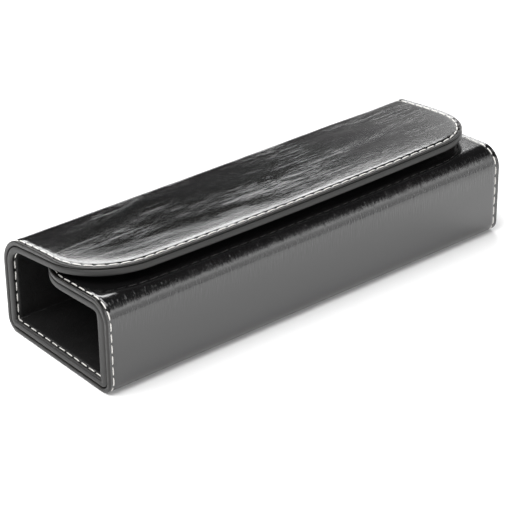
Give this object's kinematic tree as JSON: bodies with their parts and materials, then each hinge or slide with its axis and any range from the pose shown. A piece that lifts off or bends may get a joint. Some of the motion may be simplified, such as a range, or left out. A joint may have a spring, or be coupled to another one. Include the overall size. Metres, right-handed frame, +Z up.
{
  "type": "spectacle case",
  "caption": "Long open-ended case of stiffened black leather, white-stitched, with a flap lid over an inward tuck flap.",
  "frame": {"origin": "centre of the flat underside, at the middle of the length and width", "axes": "+X along the case, +Y from the open tuck side to the lid's fold at the back, +Z up"},
  "size_m": [0.166, 0.056, 0.0398],
  "materials": {
    "black_leather": "glossy, lightly creased",
    "black_lining": "satin, grained",
    "white_thread": "waxed twist",
    "greyboard": "matt board",
    "nickel_plate": "satin plate"
  },
  "bodies": {
    "shell": {"shell_outer_leather": "black_leather", "shell_lining": "black_lining", "bottom_board": "greyboard", "front_board": "greyboard", "back_board": "greyboard", "shell_seam_outer_left": "white_thread", "shell_seam_outer_right": "white_thread", "shell_seam_inner_left": "white_thread", "shell_seam_inner_right": "white_thread", "lid_fold_leather": "black_leather", "lid_fold_lining": "black_lining", "lid_fold_seam_outer_left": "white_thread", "lid_fold_seam_outer_right": "white_thread", "lid_fold_seam_inner_left": "white_thread", "lid_fold_seam_inner_right": "white_thread", "tuck_fold_leather": "black_leather", "tuck_fold_lining": "black_lining", "tuck_fold_seam_outer_left": "white_thread", "tuck_fold_seam_outer_right": "white_thread", "tuck_fold_seam_inner_left": "white_thread", "tuck_fold_seam_inner_right": "white_thread"},
    "lid": {"lid_leather": "black_leather", "lid_lining": "black_lining", "lid_board": "greyboard", "lid_magnet_left": "nickel_plate", "lid_magnet_right": "nickel_plate", "lid_seam_top": "white_thread", "lid_seam_under": "white_thread"},
    "tuck": {"tuck_leather": "black_leather", "tuck_lining": "black_lining", "tuck_board": "greyboard", "tuck_keeper_left": "nickel_plate", "tuck_keeper_right": "nickel_plate", "tuck_seam_top": "white_thread", "tuck_seam_under": "white_thread"}
  },
  "joints": [
    {"name": "lid_fold", "type": "hinge", "parent": "shell", "child": "lid", "pos_m": [0, 0.02407, 0.03015], "axis": [-1, 0, 0], "range_deg": [0, 180], "deforming": ["lid_fold_leather", "lid_fold_lining", "lid_fold_seam_outer_left", "lid_fold_seam_outer_right", "lid_fold_seam_inner_left", "lid_fold_seam_inner_right"]},
    {"name": "tuck_fold", "type": "hinge", "parent": "shell", "child": "tuck", "pos_m": [0, -0.02448, 0.0287], "axis": [1, 0, 0], "range_deg": [0, 36], "deforming": ["tuck_fold_leather", "tuck_fold_lining", "tuck_fold_seam_outer_left", "tuck_fold_seam_outer_right", "tuck_fold_seam_inner_left", "tuck_fold_seam_inner_right"]}
  ],
  "couplings": [
    {"joint": "tuck_fold", "follows": "lid_fold", "ratio": 0.2}
  ]
}
